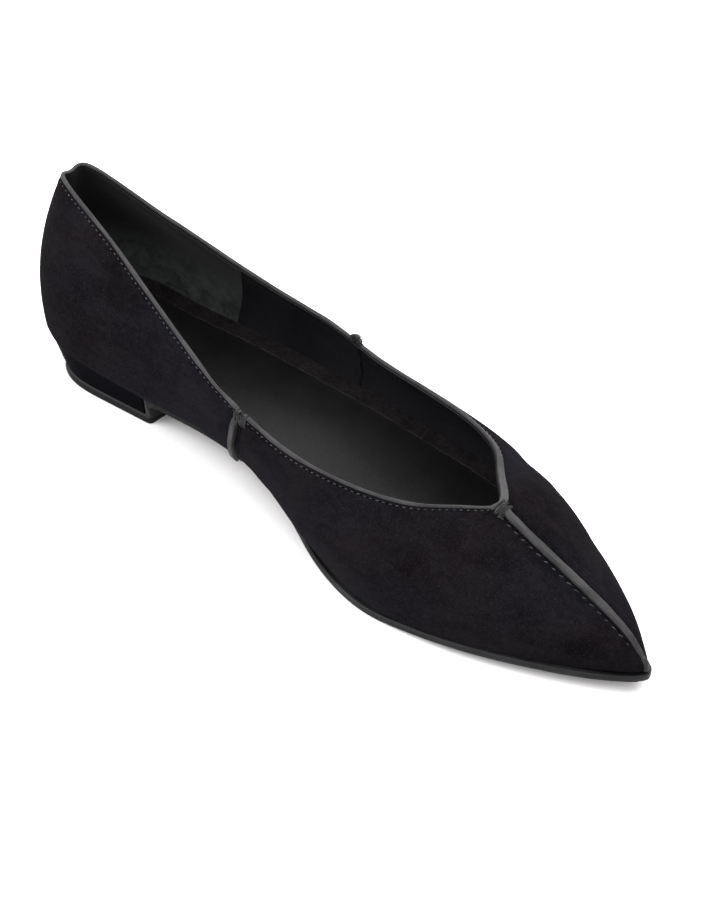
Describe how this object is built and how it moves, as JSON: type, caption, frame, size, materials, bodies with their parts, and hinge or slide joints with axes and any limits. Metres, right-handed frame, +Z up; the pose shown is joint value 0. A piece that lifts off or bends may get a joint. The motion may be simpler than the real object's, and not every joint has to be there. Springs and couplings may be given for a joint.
{
  "type": "pointed pump",
  "caption": "Pointed low-cut pump in dark suede on a very low block heel, with a bound topline, raised centre and side seams, and a thin leather sole.",
  "frame": {"origin": "on the floor, under the middle of the shoe's box", "axes": "+X from heel to toe, +Y to the lateral side, +Z up"},
  "size_m": [0.2664, 0.0848, 0.0691],
  "materials": {
    "suede": "napped suede, nearly black",
    "smooth_leather": "smooth dark gray leather with a soft sheen",
    "sole_leather": "burnished black sole leather",
    "sock_leather": "smooth black sock leather with a soft sheen",
    "heel_cover": "smooth black heel cover",
    "lift_rubber": "dark gray rubber"
  },
  "bodies": {
    "root": {"upper": "suede", "topline_binding": "smooth_leather", "vamp_seam_strip": "smooth_leather", "side_seam_strip_medial": "smooth_leather", "side_seam_strip_lateral": "smooth_leather", "outsole": "sole_leather", "insole": "sock_leather", "heel_block": "heel_cover", "top_lift": "lift_rubber"}
  },
  "joints": []
}
